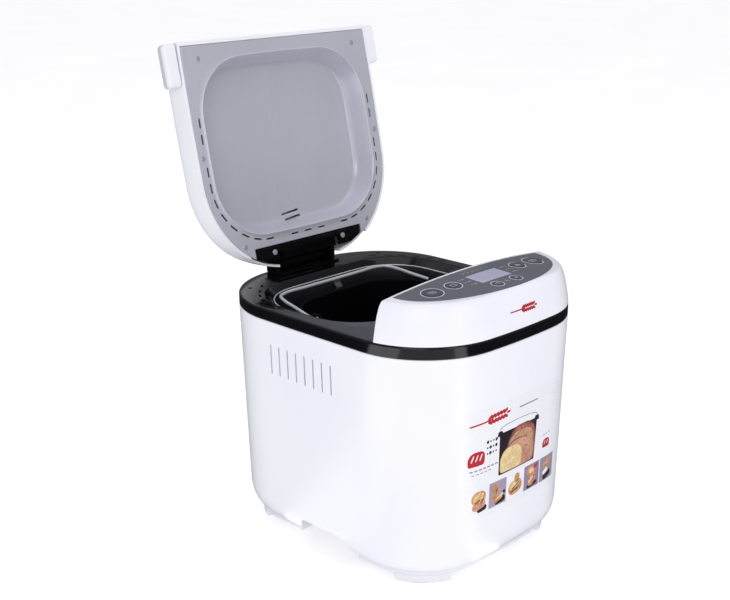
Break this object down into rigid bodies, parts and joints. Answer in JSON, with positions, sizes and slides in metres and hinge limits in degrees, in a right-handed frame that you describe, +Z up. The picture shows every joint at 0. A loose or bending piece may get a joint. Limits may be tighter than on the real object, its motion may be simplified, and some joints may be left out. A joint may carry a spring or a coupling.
{
  "type": "bread machine",
  "caption": "Countertop bread machine: tapered housing, front control housing with keys and display, hinged lid with dished liner, lift-out bread pan with bail, paddle and belt drive.",
  "frame": {"origin": "middle of the bottom of the box round the machine with its lid open, at the height of the feet's soles", "axes": "+Z up, +Y towards the hinge at the back, +X to the right as seen from the front"},
  "size_m": [0.298, 0.3887, 0.5085],
  "materials": {
    "white_housing": "glossy moulded plastic",
    "black_trim": "glossy black plastic",
    "panel_grey": "satin printed panel",
    "key_grey": "satin moulded key",
    "display_lens": "clear lens over a pale display",
    "silver_sheet": "satin sheet metal",
    "bright_steel": "bright steel",
    "pan_coating": "dark non-stick coating",
    "rubber": "matt rubber",
    "circuit_board": "coated circuit board",
    "ceramic": "fired ceramic"
  },
  "bodies": {
    "body": {"body_shell": "white_housing", "base_tray": "white_housing", "cord_gland": "black_trim", "rubber_foot_front_left": "rubber", "rubber_foot_rear_left": "rubber", "rubber_foot_front_right": "rubber", "rubber_foot_rear_right": "rubber", "deck_bezel": "black_trim", "oven_chamber": "silver_sheet", "heating_element": "bright_steel", "element_support_left": "bright_steel", "element_support_right": "bright_steel", "element_bushing_left": "ceramic", "element_bushing_right": "ceramic", "temperature_sensor": "bright_steel", "pan_retaining_spring": "bright_steel", "pan_seat_ring": "silver_sheet", "drive_bridge": "bright_steel", "motor_bridge": "bright_steel", "drive_bearing": "bright_steel", "drive_belt": "rubber", "drive_motor": "bright_steel", "motor_capacitor": "black_trim", "power_board": "circuit_board", "power_transformer": "black_trim", "control_board": "circuit_board", "display_module": "black_trim", "control_housing": "white_housing", "control_panel": "panel_grey", "display_window": "display_lens", "hinge_base": "black_trim", "hinge_pin": "bright_steel"},
    "drive_train": {"drive_shaft": "bright_steel", "drive_pulley": "black_trim", "drive_circlip": "bright_steel", "drive_coupling": "bright_steel"},
    "motor_rotor": {"motor_shaft": "bright_steel", "motor_pulley": "black_trim"},
    "pan": {"bread_pan": "pan_coating", "pan_base_ring": "silver_sheet", "pan_bush": "bright_steel", "bail_lug_left": "bright_steel", "bail_lug_right": "bright_steel"},
    "paddle_shaft": {"pan_shaft": "bright_steel", "pan_coupling": "bright_steel"},
    "paddle": {"kneading_paddle": "pan_coating"},
    "bail": {"bail_handle": "bright_steel"},
    "lid": {"lid_shell": "white_housing", "lid_liner": "silver_sheet", "lid_grip_left": "white_housing", "lid_grip_right": "white_housing", "hinge_leaf": "black_trim", "hinge_screw_left": "bright_steel", "hinge_screw_right": "bright_steel"},
    "start_key": {"button_start": "key_grey"},
    "menu_key": {"button_menu": "key_grey"},
    "time_up_key": {"button_time_up": "key_grey"},
    "crust_key": {"button_crust": "key_grey"},
    "time_down_key": {"button_time_down": "key_grey"},
    "weight_key": {"button_weight": "key_grey"}
  },
  "joints": [
    {"name": "lid_hinge", "type": "hinge", "parent": "body", "child": "lid", "pos_m": [0, 0.1184, 0.2717], "axis": [-1, 0, 0], "range_deg": [-102.1, 0]},
    {"name": "pan_lift", "type": "slide", "parent": "body", "child": "pan", "axis": [0, 0, 1], "range_m": [0, 0.18]},
    {"name": "bail_swing", "type": "hinge", "parent": "pan", "child": "bail", "pos_m": [0, 0.00065, 0.2394], "axis": [1, 0, 0], "range_deg": [0, 165]},
    {"name": "drive_spin", "type": "hinge", "parent": "body", "child": "drive_train", "pos_m": [0, 0.00065, 0.05], "axis": [0, 0, 1], "continuous": true},
    {"name": "motor_spin", "type": "hinge", "parent": "body", "child": "motor_rotor", "pos_m": [0, -0.1371, 0.05], "axis": [0, 0, 1], "continuous": true},
    {"name": "paddle_spin", "type": "hinge", "parent": "pan", "child": "paddle_shaft", "pos_m": [0, 0.00065, 0.09], "axis": [0, 0, 1], "continuous": true},
    {"name": "paddle_pull", "type": "slide", "parent": "paddle_shaft", "child": "paddle", "axis": [0, 0, 1], "range_m": [0, 0.03]},
    {"name": "start_press", "type": "slide", "parent": "body", "child": "start_key", "axis": [0, 0, -1], "range_m": [0, 0.001], "stiffness_N_per_m": 300},
    {"name": "menu_press", "type": "slide", "parent": "body", "child": "menu_key", "axis": [0, 0, -1], "range_m": [0, 0.001], "stiffness_N_per_m": 300},
    {"name": "time_up_press", "type": "slide", "parent": "body", "child": "time_up_key", "axis": [0, 0, -1], "range_m": [0, 0.001], "stiffness_N_per_m": 300},
    {"name": "crust_press", "type": "slide", "parent": "body", "child": "crust_key", "axis": [0, 0, -1], "range_m": [0, 0.001], "stiffness_N_per_m": 300},
    {"name": "time_down_press", "type": "slide", "parent": "body", "child": "time_down_key", "axis": [0, 0, -1], "range_m": [0, 0.001], "stiffness_N_per_m": 300},
    {"name": "weight_press", "type": "slide", "parent": "body", "child": "weight_key", "axis": [0, 0, -1], "range_m": [0, 0.001], "stiffness_N_per_m": 300}
  ],
  "couplings": [
    {"joint": "motor_spin", "follows": "drive_spin", "ratio": 5},
    {"joint": "paddle_spin", "follows": "drive_spin", "ratio": 1}
  ]
}
